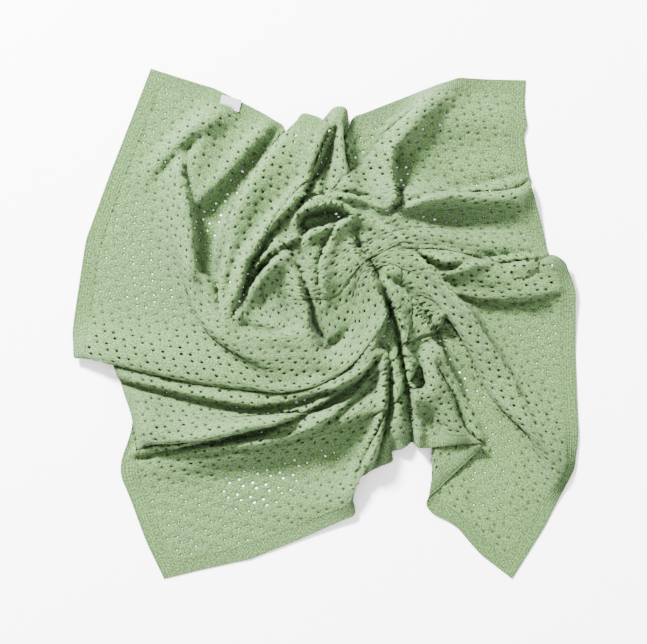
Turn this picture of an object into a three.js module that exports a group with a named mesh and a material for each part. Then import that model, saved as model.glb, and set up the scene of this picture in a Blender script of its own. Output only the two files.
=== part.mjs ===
// A knitted cotton swaddle blanket that lies on a table. Its hems are spread out in a few overlapping
// folds, and its middle is turned about half a turn, so that the folds run from the hems into a swirl.
import * as THREE from "three";

// Driving sizes, in millimetres and degrees
const clothWidth = 850;
const clothLength = 1000;
const sheetThickness = 2.4;
const swirl = { x: 25, y: 41, turn: 220, reach: 75 };
const label = { length: 30, width: 18, thickness: 0.7, x: -138, y: 319, turn: -15, gap: 0.3 };

// Fineness of the cloth while it is laid, and the share of its points that the finished sheet keeps
const cellsAcross = 98;
const cellsAlong = 116;
const keptPoint = 2;

// How the hems lie, corner to corner clockwise from the top left: x, y, height of the underside
const hems = {
  top: [
    [-254, 371, 0],
    [-159, 341, 2],
    [-91, 306, 8],
    [-61, 287, 12],
    [-48, 251, 1],
    [-42, 283, 8],
    [-32, 306, 20],
    [-7, 297, 26],
    [12, 280, 24],
    [-4, 283, 16],
    [1, 297, 8],
    [12, 313, 16],
    [30, 312, 16],
    [36, 291, 4],
    [28, 262, 1],
    [39, 299, 1],
    [80, 315, 1],
    [167, 348, 6],
    [196, 357, 6],
    [239, 355, 2],
    [293, 354, 0],
  ],
  right: [
    [293, 354, 0],
    [291, 309, 1],
    [296, 291, 2],
    [290, 274, 2],
    [296, 229, 0],
    [306, 167, 0],
    [297, 210, 14],
    [312, 157, 8],
    [323, 112, 1],
    [335, 48, 0],
    [326, 103, 16],
    [349, 88, 14],
    [365, 48, 8],
    [365, -39, 1],
    [370, -170, 1],
    [363, -213, 1],
    [319, -300, 0],
    [273, -373, 0],
  ],
  bottom: [
    [273, -373, 0],
    [225, -336, 0],
    [189, -294, 1],
    [155, -277, 2],
    [144, -261, 6],
    [189, -217, 12],
    [235, -173, 18],
    [189, -177, 24],
    [136, -183, 18],
    [129, -170, 8],
    [122, -181, 10],
    [103, -184, 10],
    [97, -187, 6],
    [103, -199, 2],
    [71, -213, 1],
    [29, -238, 1],
    [48, -277, 8],
    [-36, -315, 2],
    [-109, -344, 1],
    [-181, -360, 0],
    [-235, -373, 0],
  ],
  left: [
    [-235, -373, 0],
    [-261, -319, 0],
    [-284, -257, 0],
    [-299, -220, 2],
    [-297, -199, 3],
    [-286, -170, 6],
    [-277, -135, 8],
    [-270, -190, 16],
    [-281, -133, 12],
    [-299, -84, 6],
    [-329, -3, 2],
    [-365, -57, 12],
    [-368, -10, 6],
    [-349, 120, 2],
    [-312, 222, 1],
    [-254, 371, 0],
  ],
};

// Turns of the cloth that start at a hem: the row of that hem, then x, y and height along the turn
const turns = [
  {
    hem: "top",
    row: 8,
    route: [[12, 280, 26], [3, 248, 28], [-17, 219, 28], [-46, 190, 28], [-83, 161, 28],
      [-101, 138, 26], [-120, 88, 24], [-133, 22, 20]],
  },
  { hem: "top", row: 4, route: [[-48, 251, 3], [-77, 219, 3], [-109, 178, 3], [-141, 141, 3]] },
  { hem: "top", row: 12, route: [[30, 312, 18], [35, 280, 16], [39, 244, 14], [42, 207, 14]] },
  { hem: "top", row: 14, route: [[28, 262, 3], [33, 229, 3], [39, 200, 3]] },
  {
    hem: "top",
    row: 18,
    route: [[178, 341, 4], [152, 306, 20], [120, 276, 24], [88, 219, 26], [86, 190, 30]],
  },
  { hem: "right", row: 5, route: [[306, 167, 2], [254, 157, 3], [196, 146, 3]] },
  {
    hem: "right",
    row: 6,
    route: [[297, 210, 16], [252, 199, 16], [210, 190, 17], [167, 178, 18], [116, 161, 24]],
  },
  { hem: "right", row: 9, route: [[335, 48, 2], [283, 51, 3], [225, 48, 3]] },
  {
    hem: "right",
    row: 10,
    route: [[326, 103, 18], [290, 94, 20], [247, 87, 20], [203, 80, 20], [178, 70, 20]],
  },
  {
    hem: "left",
    row: 7,
    route: [[-270, -190, 18], [-210, -184, 18], [-138, -170, 18], [-72, -146, 20], [-14, -119, 22]],
  },
  { hem: "left", row: 6, route: [[-277, -135, 8], [-217, -138, 5], [-152, -126, 5]] },
  {
    hem: "left",
    row: 11,
    route: [[-365, -57, 14], [-297, -74, 18], [-225, -94, 20], [-138, -112, 22], [-58, -109, 24],
      [0, -90, 28]],
  },
  { hem: "left", row: 10, route: [[-329, -3, 4], [-268, -17, 4], [-196, -32, 4]] },
  {
    hem: "bottom",
    row: 4,
    route: [[144, -261, 8], [141, -225, 8], [136, -184, 8], [129, -141, 8], [120, -97, 8]],
  },
  {
    hem: "bottom",
    row: 6,
    route: [[235, -173, 20], [216, -146, 26], [191, -97, 32], [165, -42, 34], [138, 4, 36]],
  },
  { hem: "bottom", row: 8, route: [[136, -183, 20], [131, -141, 16], [123, -97, 14]] },
  { hem: "bottom", row: 15, route: [[29, -238, 3], [39, -199, 4], [51, -155, 4]] },
  {
    hem: "bottom",
    row: 16,
    route: [[48, -277, 10], [57, -228, 16], [68, -177, 18], [77, -126, 18], [81, -90, 20]],
  },
];

// Ridges of the upper layer: height, half width, x and y along the crest
const ridges = [
  {
    name: "upper left strip",
    height: 16,
    halfWidth: 14,
    route: [[-72, 283], [-117, 252], [-157, 207], [-187, 171]],
  },
  {
    name: "top roll",
    height: 34,
    halfWidth: 20,
    route: [[-14, 289], [-32, 251], [-72, 200], [-113, 146], [-136, 88], [-144, 33], [-139, 7]],
  },
  {
    name: "inner edge of the upper left panel",
    height: 22,
    halfWidth: 14,
    route: [[-167, 277], [-202, 251], [-222, 219], [-213, 178], [-204, 128], [-196, 84], [-162, 19],
      [-144, -4]],
  },
  {
    name: "band round the foot of the swirl",
    height: 46,
    halfWidth: 16,
    route: [[-141, -4], [-106, -25], [-72, -28], [-39, -36], [10, -71], [36, -65], [65, -42], [83, -7],
      [84, 33], [67, 77], [35, 138]],
  },
  {
    name: "left lobe",
    height: 24,
    halfWidth: 16,
    route: [[-348, -42], [-297, -62], [-225, -86], [-138, -103], [-51, -103], [4, -88]],
  },
  {
    name: "upper fold of the left strip",
    height: 14,
    halfWidth: 10,
    route: [[-265, -178], [-210, -171], [-138, -154], [-83, -135], [-36, -115]],
  },
  {
    name: "lower fold of the left strip",
    height: 16,
    halfWidth: 8,
    route: [[-254, -202], [-181, -191], [-109, -170], [-51, -146], [7, -115], [51, -86]],
  },
  {
    name: "lower left panel",
    height: 18,
    halfWidth: 12,
    route: [[36, -268], [57, -210], [74, -155], [80, -75]],
  },
  {
    name: "short bottom fold",
    height: 22,
    halfWidth: 10,
    route: [[117, -170], [110, -141], [103, -97], [96, -54]],
  },
  {
    name: "bottom flap",
    height: 32,
    halfWidth: 14,
    route: [[216, -148], [189, -94], [164, -39], [138, 4], [106, 48], [80, 80]],
  },
  {
    name: "long fold of the lower right panel",
    height: 38,
    halfWidth: 14,
    route: [[335, -202], [312, -167], [283, -115], [254, -68], [199, 12], [167, 51], [131, 88],
      [94, 120], [54, 138]],
  },
  {
    name: "right roll",
    height: 17,
    halfWidth: 13,
    route: [[181, 57], [225, 62], [268, 67], [312, 74], [348, 80]],
  },
  {
    name: "small right fold",
    height: 18,
    halfWidth: 8,
    route: [[117, 123], [152, 115], [189, 102], [207, 88]],
  },
  {
    name: "right panel edge",
    height: 16,
    halfWidth: 10,
    route: [[94, 152], [144, 170], [177, 178], [213, 189], [252, 196], [291, 200]],
  },
  {
    name: "upper right panel",
    height: 24,
    halfWidth: 12,
    route: [[177, 335], [152, 306], [120, 276], [97, 251], [88, 219], [86, 186]],
  },
  {
    name: "narrow top fold",
    height: 18,
    halfWidth: 8,
    route: [[22, 306], [28, 280], [30, 244], [33, 207]],
  },
  {
    name: "arc over the swirl",
    height: 46,
    halfWidth: 11,
    route: [[94, 174], [65, 177], [29, 178], [-4, 173], [-29, 158], [-54, 135], [-80, 110], [-106, 86]],
  },
  {
    name: "left petal",
    height: 56,
    halfWidth: 12,
    route: [[-67, 110], [-54, 86], [-41, 57], [-30, 28], [-20, -7], [-7, -32]],
  },
  { name: "right petal", height: 52, halfWidth: 9, route: [[13, 132], [0, 109], [-6, 77], [-10, 41]] },
];

// Valleys between the ridges: height of their floor, half width, x and y along them
const valleys = [
  { level: 3, halfWidth: 12, route: [[-80, 251], [-116, 207], [-141, 174]] },
  { level: 3, halfWidth: 7, route: [[4, 251], [-4, 219], [-25, 193], [-45, 167], [-71, 138]] },
  { level: 3, halfWidth: 8, route: [[-100, 88], [-113, 62], [-123, 33], [-129, 16]] },
  { level: 3, halfWidth: 14, route: [[59, 280], [59, 236], [62, 196]] },
  { level: 3, halfWidth: 16, route: [[115, 236], [123, 193]] },
  { level: 3, halfWidth: 20, route: [[167, 236], [239, 280]] },
  { level: 16, halfWidth: 10, route: [[-25, 141], [0, 146], [25, 152]] },
  { level: 3, halfWidth: 14, route: [[167, 142], [239, 142], [297, 132]] },
  { level: 3, halfWidth: 6, route: [[152, 91], [174, 80], [199, 77]] },
  { level: 3, halfWidth: 25, route: [[254, -10], [319, -39], [341, -126]] },
  {
    level: 3,
    halfWidth: 13,
    route: [[112, 74], [149, 33], [181, -17], [213, -75], [239, -133], [248, -177], [225, -228]],
  },
  { level: 3, halfWidth: 5, route: [[77, 61], [103, 15], [117, -57], [123, -97], [133, -170]] },
  { level: 3, halfWidth: 5, route: [[88, -58], [91, -97], [94, -142], [97, -177]] },
  { level: 3, halfWidth: 25, route: [[-225, -315], [-123, -257], [-22, -220], [29, -170]] },
  { level: 3, halfWidth: 7, route: [[-181, -212], [-109, -193], [-36, -170], [29, -132]] },
  {
    level: 3,
    halfWidth: 6,
    route: [[-290, -90], [-225, -110], [-138, -129], [-51, -125], [7, -107], [51, -83]],
  },
  { level: 3, halfWidth: 25, route: [[-268, 280], [-297, 149], [-312, 33], [-268, -10]] },
  { level: 3, halfWidth: 10, route: [[-178, 142], [-164, 106], [-151, 62]] },
  { level: 16, halfWidth: 9, route: [[-42, 19], [-51, -3]] },
  { level: 18, halfWidth: 7, route: [[4, -39], [-4, -10], [-7, 19]] },
  { level: 22, halfWidth: 9, route: [[59, 113], [77, 88]] },
];

// The edge of the whole heap, seen from above: x, y
const outline = [
  [-254, 371], [-159, 341], [-91, 306], [-61, 287], [-46, 280], [-41, 299], [-32, 306], [-7, 297], [1, 309],
  [12, 313], [30, 312], [35, 299], [80, 315], [167, 348], [196, 357], [293, 354], [291, 309], [296, 291],
  [290, 274], [296, 229], [297, 210], [312, 157], [323, 112], [349, 88], [365, 48], [365, -39], [370, -170],
  [363, -213], [319, -300], [273, -373], [225, -336], [189, -294], [155, -277], [144, -261], [141, -228],
  [136, -184], [102, -186], [99, -199], [71, -213], [59, -231], [48, -277], [-36, -315], [-109, -344],
  [-181, -360], [-235, -373], [-261, -319], [-284, -257], [-299, -220], [-297, -199], [-281, -133],
  [-299, -84], [-348, -65], [-365, -57], [-368, -10], [-349, 120], [-312, 222],
];

// How the yarn behaves while the cloth settles
const layGap = 8;
const restHeight = sheetThickness / 2;
const growSteps = 260;
const settleSteps = 100;
const passes = 8;
const smoothRounds = 7;
const growth = { end: 0.9, tightenFaster: 4, releaseDrawn: 1.2, releaseSpread: 0.5 };
const pull = { weave: 0.9, bias: 0.35, bend: 0.5, wideBend: 0.2 };
const fall = { weight: 0.25, damping: 0.9, drag: 0.5, fastest: 3 };
const hold = { ridge: 0.25, valley: 0.15, turn: 0.12, spread: 0.02 };
const press = { valley: 0.6, hemReach: 26, hemShare: 0.6, looseAbove: 14, loose: 0.02, full: 6, most: 2 };

const cellWidth = clothWidth / cellsAcross;
const cellLength = clothLength / cellsAlong;
const rowLength = cellsAcross + 1;
const pointCount = rowLength * (cellsAlong + 1);
const node = (i, j) => j * rowLength + i;
const distance = (a, b) => Math.hypot(...a.map((value, k) => value - b[k]));
const clamp = (value, low, high) => Math.max(low, Math.min(high, value));
const ease = (t) => {
  const s = clamp(t, 0, 1);
  return s * s * (3 - 2 * s);
};

// Running length at every point of a route
function runningLengths(route) {
  const lengths = [0];
  for (let k = 1; k < route.length; k++) {
    lengths.push(lengths[k - 1] + distance(route[k - 1], route[k]));
  }
  return lengths;
}

// The point that lies a given length along a route
function pointAlong(route, lengths, length) {
  let k = 1;
  while (k < lengths.length - 1 && lengths[k] < length) k++;
  const share = (length - lengths[k - 1]) / (lengths[k] - lengths[k - 1]);
  return route[k].map((value, c) => route[k - 1][c] + (value - route[k - 1][c]) * share);
}

// Every hem point of the cloth and where it lies
function placeHems() {
  const placed = new Map();
  const lay = (rows, count, pick) => {
    const lengths = runningLengths(rows);
    for (let k = 0; k <= count; k++) {
      const point = pointAlong(rows, lengths, (lengths[lengths.length - 1] * k) / count);
      placed.set(pick(k), [point[0], point[1], point[2] + restHeight]);
    }
  };
  lay(hems.top, cellsAcross, (k) => node(k, cellsAlong));
  lay(hems.bottom, cellsAcross, (k) => node(cellsAcross - k, 0));
  lay(hems.right, cellsAlong, (k) => node(cellsAcross, cellsAlong - k));
  lay(hems.left, cellsAlong, (k) => node(0, k));
  return placed;
}

// Turning about the middle of the swirl, less and less with the distance from it
function turned(x, y, direction) {
  const dx = x - swirl.x;
  const dy = y - swirl.y;
  const fade = Math.exp(-Math.hypot(dx, dy) / swirl.reach);
  const angle = direction * THREE.MathUtils.degToRad(swirl.turn) * fade;
  const cos = Math.cos(angle);
  const sin = Math.sin(angle);
  return [swirl.x + cos * dx - sin * dy, swirl.y + sin * dx + cos * dy];
}

// The cloth points along each turn, straight in from the hem, with the place where each one lies
function placeTurns(hemPoints) {
  const placed = new Map();
  for (const { hem, row, route } of turns) {
    const hemLengths = runningLengths(hems[hem]);
    const share = hemLengths[row] / hemLengths[hemLengths.length - 1];
    const across = hem === "bottom" ? 1 - share : share;
    const along = hem === "right" ? 1 - share : share;
    const lengths = runningLengths(route);
    for (let length = 0; length <= lengths[lengths.length - 1]; length += cellWidth) {
      const depthAcross = length / cellWidth;
      const depthAlong = length / cellLength;
      const [i, j] = {
        top: [across * cellsAcross, cellsAlong - depthAlong],
        bottom: [across * cellsAcross, depthAlong],
        left: [depthAcross, along * cellsAlong],
        right: [cellsAcross - depthAcross, along * cellsAlong],
      }[hem].map(Math.round);
      const index = node(i, j);
      if (hemPoints.has(index) || placed.has(index)) continue;
      placed.set(index, pointAlong(route, lengths, length));
    }
  }
  return placed;
}

// A first, smooth lay of the whole cloth between its hems and turns, before the swirl is turned
function spreadCloth(hemPoints, turnPoints) {
  const spread = new Float64Array(3 * pointCount);
  const known = new Uint8Array(pointCount);
  const start = { across: 600, along: 750 };
  for (let j = 0; j <= cellsAlong; j++) {
    for (let i = 0; i <= cellsAcross; i++) {
      const x = (i / cellsAcross - 0.5) * start.across;
      const y = (j / cellsAlong - 0.5) * start.along;
      spread.set([x, y, 0], 3 * node(i, j));
    }
  }
  for (const [index, [x, y, z]] of hemPoints) {
    spread.set([x, y, z - restHeight], 3 * index);
    known[index] = 1;
  }
  for (const [index, [x, y, z]] of turnPoints) {
    spread.set([...turned(x, y, -1), z], 3 * index);
    known[index] = 1;
  }
  const rounds = 900;
  const overshoot = 1.85;
  for (let round = 0; round < rounds; round++) {
    for (let index = 0; index < pointCount; index++) {
      if (known[index]) continue;
      for (let c = 0; c < 3; c++) {
        const here = 3 * index + c;
        const beside = spread[here - 3] + spread[here + 3];
        const mean = (beside + spread[here - 3 * rowLength] + spread[here + 3 * rowLength]) / 4;
        spread[here] += overshoot * (mean - spread[here]);
      }
    }
  }
  for (let index = 0; index < pointCount; index++) {
    spread.set(turned(spread[3 * index], spread[3 * index + 1], 1), 3 * index);
  }
  return spread;
}

// A square map of the table top that holds one value per place
const mapStep = 2.5;
const mapSide = 384;
const mapCorner = -480;
const mapPlace = (x, y) => {
  const i = clamp(Math.round((x - mapCorner) / mapStep), 1, mapSide - 2);
  const j = clamp(Math.round((y - mapCorner) / mapStep), 1, mapSide - 2);
  return j * mapSide + i;
};

// Distance from a point to the piece of a line between two others
function distanceToPiece(x, y, [ax, ay], [bx, by]) {
  const share = ((x - ax) * (bx - ax) + (y - ay) * (by - ay)) / ((bx - ax) ** 2 + (by - ay) ** 2);
  const f = clamp(share, 0, 1);
  return Math.hypot(x - ax - f * (bx - ax), y - ay - f * (by - ay));
}

// Raises a map along a route, highest on the route and rounded off over its half width
function raiseAlong(map, route, halfWidth, height) {
  const reach = 2.6 * halfWidth;
  for (let k = 1; k < route.length; k++) {
    const [from, to] = [route[k - 1], route[k]];
    const [west, east] = [Math.min(from[0], to[0]) - reach, Math.max(from[0], to[0]) + reach];
    const [south, north] = [Math.min(from[1], to[1]) - reach, Math.max(from[1], to[1]) + reach];
    for (let y = south; y <= north; y += mapStep) {
      for (let x = west; x <= east; x += mapStep) {
        const place = mapPlace(x, y);
        const placeX = mapCorner + (place % mapSide) * mapStep;
        const placeY = mapCorner + Math.floor(place / mapSide) * mapStep;
        const off = distanceToPiece(placeX, placeY, from, to) / halfWidth;
        map[place] = Math.max(map[place], height * Math.exp(-off * off));
      }
    }
  }
}

// How far each place lies outside the heap's edge, negative inside it
function measureOutside() {
  const map = new Float64Array(mapSide * mapSide);
  for (let place = 0; place < map.length; place++) {
    const x = mapCorner + (place % mapSide) * mapStep;
    const y = mapCorner + Math.floor(place / mapSide) * mapStep;
    let nearest = Infinity;
    let inside = false;
    outline.forEach((corner, k) => {
      const before = outline[(k + outline.length - 1) % outline.length];
      const crosses = corner[1] > y !== before[1] > y;
      const crossing = ((corner[0] - before[0]) * (y - before[1])) / (corner[1] - before[1]) + before[0];
      if (crosses && x < crossing) inside = !inside;
      nearest = Math.min(nearest, distanceToPiece(x, y, before, corner));
    });
    map[place] = inside ? -nearest : nearest;
  }
  return map;
}

// Where the ridges hold the cloth up, where the valleys and the hems press it down, and the outside
function mapTable() {
  const support = new Float64Array(mapSide * mapSide);
  const pressed = new Float64Array(mapSide * mapSide);
  const outside = measureOutside();
  const edgeBlur = 4;
  ridges.forEach((row) => raiseAlong(support, row.route, row.halfWidth, row.height));
  valleys.forEach((row) => raiseAlong(pressed, row.route, row.halfWidth, 1));
  outside.forEach((value, place) => {
    if (value > edgeBlur) return;
    const inward = Math.max(0, -value) / press.hemReach;
    pressed[place] = Math.max(pressed[place], press.hemShare * Math.exp(-inward * inward));
  });
  return { support, pressed, outside };
}

// Stacks the layers of the first lay, lowest first, and marks the points that lie under another layer
function stackLayers(spread, support) {
  const heights = new Float64Array(pointCount);
  const covered = new Uint8Array(pointCount);
  const reach = 3 * mapStep;
  const otherLayer = 40;
  const ridgeShare = 0.9;
  const stacked = new Map();
  const apart = (a, b) => {
    const across = ((a % rowLength) - (b % rowLength)) * cellWidth;
    const along = (Math.floor(a / rowLength) - Math.floor(b / rowLength)) * cellLength;
    return Math.hypot(across, along);
  };
  const order = Array.from(heights.keys()).sort((a, b) => spread[3 * a + 2] - spread[3 * b + 2]);
  for (const index of order) {
    const [x, y, z] = spread.subarray(3 * index, 3 * index + 3);
    heights[index] = z;
    for (let dx = -reach; dx <= reach; dx += mapStep) {
      for (let dy = -reach; dy <= reach; dy += mapStep) {
        for (const other of stacked.get(mapPlace(x + dx, y + dy)) ?? []) {
          if (apart(index, other) < otherLayer) continue;
          heights[index] = Math.max(heights[index], heights[other] + layGap);
          covered[other] = 1;
        }
      }
    }
    const place = mapPlace(x, y);
    if (!stacked.has(place)) stacked.set(place, []);
    stacked.get(place).push(index);
  }
  for (let index = 0; index < pointCount; index++) {
    const raised = ridgeShare * support[mapPlace(spread[3 * index], spread[3 * index + 1])];
    if (!covered[index]) heights[index] = Math.max(heights[index], raised);
  }
  return { heights, covered };
}

// Cloth points that lie near a ridge, valley or turn are drawn to it
function drawnPoints(spread, hemPoints, turnPoints, covered) {
  const reach = 5;
  const lift = 2;
  const lines = [
    ...ridges.map(({ route, height }) => ({ route, z: height + lift, strength: hold.ridge })),
    ...valleys.map(({ route, level }) => ({ route, z: level, strength: hold.valley })),
  ];
  const drawn = [];
  for (const [index, [x, y, z]] of turnPoints) {
    drawn.push({ index, x, y, z: z + lift, strength: hold.turn });
  }
  for (let index = 0; index < pointCount; index++) {
    if (hemPoints.has(index) || turnPoints.has(index) || covered[index]) continue;
    const [x, y] = [spread[3 * index], spread[3 * index + 1]];
    let nearest = reach;
    let chosen = null;
    for (const { route, z, strength } of lines) {
      for (let k = 1; k < route.length; k++) {
        const [[ax, ay], [bx, by]] = [route[k - 1], route[k]];
        const share = ((x - ax) * (bx - ax) + (y - ay) * (by - ay)) / ((bx - ax) ** 2 + (by - ay) ** 2);
        if (share < -0.1 || share > 1.1) continue;
        const f = clamp(share, 0, 1);
        const near = [ax + f * (bx - ax), ay + f * (by - ay)];
        const off = Math.hypot(x - near[0], y - near[1]);
        if (off >= nearest) continue;
        nearest = off;
        chosen = { index, x: near[0], y: near[1], z, strength };
      }
    }
    if (chosen) drawn.push(chosen);
  }
  return drawn;
}

// The threads between cloth points: each one's two points, its true length and its strength
function spinThreads() {
  const threads = { first: [], second: [], length: [], strength: [] };
  const spin = (acrossCells, alongCells, strength) => {
    const length = Math.hypot(acrossCells * cellWidth, alongCells * cellLength);
    for (let j = 0; j <= cellsAlong; j++) {
      for (let i = 0; i <= cellsAcross; i++) {
        const [otherI, otherJ] = [i + acrossCells, j + alongCells];
        if (otherI > cellsAcross || otherJ < 0 || otherJ > cellsAlong) continue;
        threads.first.push(node(i, j));
        threads.second.push(node(otherI, otherJ));
        threads.length.push(length);
        threads.strength.push(strength);
      }
    }
  };
  spin(1, 0, pull.weave);
  spin(0, 1, pull.weave);
  spin(1, 1, pull.bias);
  spin(1, -1, pull.bias);
  spin(2, 0, pull.bend);
  spin(0, 2, pull.bend);
  spin(4, 0, pull.wideBend);
  spin(0, 4, pull.wideBend);
  return {
    first: Int32Array.from(threads.first),
    second: Int32Array.from(threads.second),
    trueLength: Float64Array.from(threads.length),
    strength: Float64Array.from(threads.strength),
  };
}

// Keeps layers that lie on each other apart
function makeSeparator(points, fixed) {
  const buckets = new Int32Array(1 << 16);
  const next = new Int32Array(pointCount);
  const cells = new Int32Array(3 * pointCount);
  const bucket = (x, y, z) => ((x * 73856093) ^ (y * 19349663) ^ (z * 83492791)) & 0xffff;
  const neighbourhood = [-1, 0, 1];
  const sameSheet = 1.6 * layGap;
  const softness = 0.9;
  function part(a, b) {
    const [dx, dy, dz] = [0, 1, 2].map((c) => points[3 * b + c] - points[3 * a + c]);
    const apart = dx * dx + dy * dy + dz * dz;
    if (apart >= layGap * layGap || apart < 1e-9) return;
    const across = ((b % rowLength) - (a % rowLength)) * cellWidth;
    const along = (Math.floor(b / rowLength) - Math.floor(a / rowLength)) * cellLength;
    if (Math.hypot(across, along) < sameSheet) return;
    const movers = 2 - fixed[a] - fixed[b];
    if (movers === 0) return;
    const length = Math.sqrt(apart);
    const push = (softness * (layGap - length)) / length / movers;
    [dx, dy, dz].forEach((step, c) => {
      if (!fixed[a]) points[3 * a + c] -= step * push;
      if (!fixed[b]) points[3 * b + c] += step * push;
    });
  }
  return function separate() {
    buckets.fill(-1);
    for (let index = 0; index < pointCount; index++) {
      for (let c = 0; c < 3; c++) cells[3 * index + c] = Math.floor(points[3 * index + c] / layGap);
      const home = bucket(cells[3 * index], cells[3 * index + 1], cells[3 * index + 2]);
      next[index] = buckets[home];
      buckets[home] = index;
    }
    for (let index = 0; index < pointCount; index++) {
      const [x, y, z] = [cells[3 * index], cells[3 * index + 1], cells[3 * index + 2]];
      for (const a of neighbourhood) {
        for (const b of neighbourhood) {
          for (const c of neighbourhood) {
            for (let other = buckets[bucket(x + a, y + b, z + c)]; other >= 0; other = next[other]) {
              if (other <= index || cells[3 * other] !== x + a) continue;
              if (cells[3 * other + 1] !== y + b || cells[3 * other + 2] !== z + c) continue;
              part(index, other);
            }
          }
        }
      }
    }
  };
}

// Lays the cloth: it starts drawn in, grows to its true size, and settles under its own weight
function layCloth() {
  const hemPoints = placeHems();
  const turnPoints = placeTurns(hemPoints);
  const spread = spreadCloth(hemPoints, turnPoints);
  const table = mapTable();
  const { heights, covered } = stackLayers(spread, table.support);
  const drawn = drawnPoints(spread, hemPoints, turnPoints, covered);
  const points = new Float64Array(3 * pointCount);
  const fixed = new Uint8Array(pointCount);
  for (let index = 0; index < pointCount; index++) {
    points.set([spread[3 * index], spread[3 * index + 1], restHeight + heights[index]], 3 * index);
  }
  for (const [index, place] of hemPoints) {
    points.set(place, 3 * index);
    fixed[index] = 1;
  }
  const before = Float64Array.from(points);
  const separate = makeSeparator(points, fixed);
  const threads = spinThreads();
  const { first, second, trueLength, strength } = threads;
  const drawnLength = trueLength.map((_, k) => {
    const [a, b] = [3 * first[k], 3 * second[k]];
    return distance(points.subarray(a, a + 3), points.subarray(b, b + 3));
  });
  const length = new Float64Array(trueLength.length);

  for (let step = 0; step < growSteps + settleSteps; step++) {
    const time = step / growSteps;
    const settled = Math.max(0, step - growSteps) / settleSteps;
    const grown = ease(time / growth.end);
    for (let k = 0; k < length.length; k++) {
      const share = drawnLength[k] > trueLength[k] ? Math.min(1, growth.tightenFaster * time) : grown;
      length[k] = drawnLength[k] + (trueLength[k] - drawnLength[k]) * share;
    }
    for (let index = 0; index < pointCount; index++) {
      if (fixed[index]) continue;
      for (let c = 0; c < 3; c++) {
        const here = 3 * index + c;
        const speed = (points[here] - before[here]) * fall.damping;
        before[here] = points[here];
        points[here] += clamp(speed, -fall.fastest, fall.fastest);
      }
      points[3 * index + 2] -= fall.weight;
    }
    drawTogether(points, drawn, Math.max(0, 1 - settled / growth.releaseDrawn));
    keepSpread(points, spread, fixed, hold.spread * Math.max(0, 1 - settled / growth.releaseSpread));
    pressDown(points, fixed, table);
    for (let pass = 0; pass < passes; pass++) {
      pullThreads(points, fixed, first, second, length, strength);
      if (pass % 2 === 0) separate();
      if (pass % 2 === 1) keepInside(points, fixed, table.outside);
      standOnTable(points, before, fixed, covered, table.support);
    }
  }
  for (let round = 0; round < smoothRounds; round++) {
    smoothCloth(points);
    separate();
  }
  smoothCloth(points);
  return points;
}

// Takes the smallest creases out of the cloth, inside its hems
function smoothCloth(points) {
  const share = 0.5;
  const old = Float64Array.from(points);
  for (let j = 1; j < cellsAlong; j++) {
    for (let i = 1; i < cellsAcross; i++) {
      for (let c = 0; c < 3; c++) {
        const here = 3 * node(i, j) + c;
        const beside = old[here - 3] + old[here + 3];
        const mean = (beside + old[here - 3 * rowLength] + old[here + 3 * rowLength]) / 4;
        points[here] += share * (mean - old[here]);
      }
    }
  }
}

// Draws the points of the ridges, valleys and turns to where they lie
function drawTogether(points, drawn, share) {
  const fastest = 1.5;
  for (const { index, x, y, z, strength } of drawn) {
    const part = strength * share;
    points[3 * index] += (x - points[3 * index]) * part;
    points[3 * index + 1] += (y - points[3 * index + 1]) * part;
    points[3 * index + 2] += clamp((z - points[3 * index + 2]) * part, -fastest, fastest);
  }
}

// Keeps every point loosely over its place in the smooth first lay
function keepSpread(points, spread, fixed, share) {
  for (let index = 0; index < pointCount; index++) {
    if (fixed[index]) continue;
    points[3 * index] += (spread[3 * index] - points[3 * index]) * share;
    points[3 * index + 1] += (spread[3 * index + 1] - points[3 * index + 1]) * share;
  }
}

// Presses the cloth into the valleys and near the hems, and down where it stands too high
function pressDown(points, fixed, table) {
  for (let index = 0; index < pointCount; index++) {
    if (fixed[index]) continue;
    const place = mapPlace(points[3 * index], points[3 * index + 1]);
    const height = points[3 * index + 2];
    const down = press.valley * table.pressed[place] * Math.min(1, height / press.full);
    const over = height - down - press.looseAbove - table.support[place];
    points[3 * index + 2] -= down + clamp(press.loose * over, 0, press.most);
  }
}

// One pass over the threads, which pulls or pushes their ends to the length each one has now
function pullThreads(points, fixed, first, second, length, strength) {
  for (let k = 0; k < length.length; k++) {
    const [holdA, holdB] = [fixed[first[k]], fixed[second[k]]];
    if (holdA && holdB) continue;
    const a = 3 * first[k];
    const b = 3 * second[k];
    const dx = points[b] - points[a];
    const dy = points[b + 1] - points[a + 1];
    const dz = points[b + 2] - points[a + 2];
    const now = Math.sqrt(dx * dx + dy * dy + dz * dz) + 1e-9;
    const share = (strength[k] * (now - length[k])) / now / (holdA || holdB ? 1 : 2);
    if (!holdA) {
      points[a] += dx * share;
      points[a + 1] += dy * share;
      points[a + 2] += dz * share;
    }
    if (!holdB) {
      points[b] -= dx * share;
      points[b + 1] -= dy * share;
      points[b + 2] -= dz * share;
    }
  }
}

// Moves what bulges over the heap's edge back inside it
function keepInside(points, fixed, outside) {
  const margin = 2;
  const share = 0.4;
  const farthest = 6;
  for (let index = 0; index < pointCount; index++) {
    if (fixed[index]) continue;
    const place = mapPlace(points[3 * index], points[3 * index + 1]);
    const over = outside[place] + margin;
    if (over <= 0) continue;
    const east = outside[place + 1] - outside[place - 1];
    const north = outside[place + mapSide] - outside[place - mapSide];
    const slope = Math.hypot(east, north) || 1;
    const step = Math.min(farthest, over * share);
    points[3 * index] -= (east / slope) * step;
    points[3 * index + 1] -= (north / slope) * step;
  }
}

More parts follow.
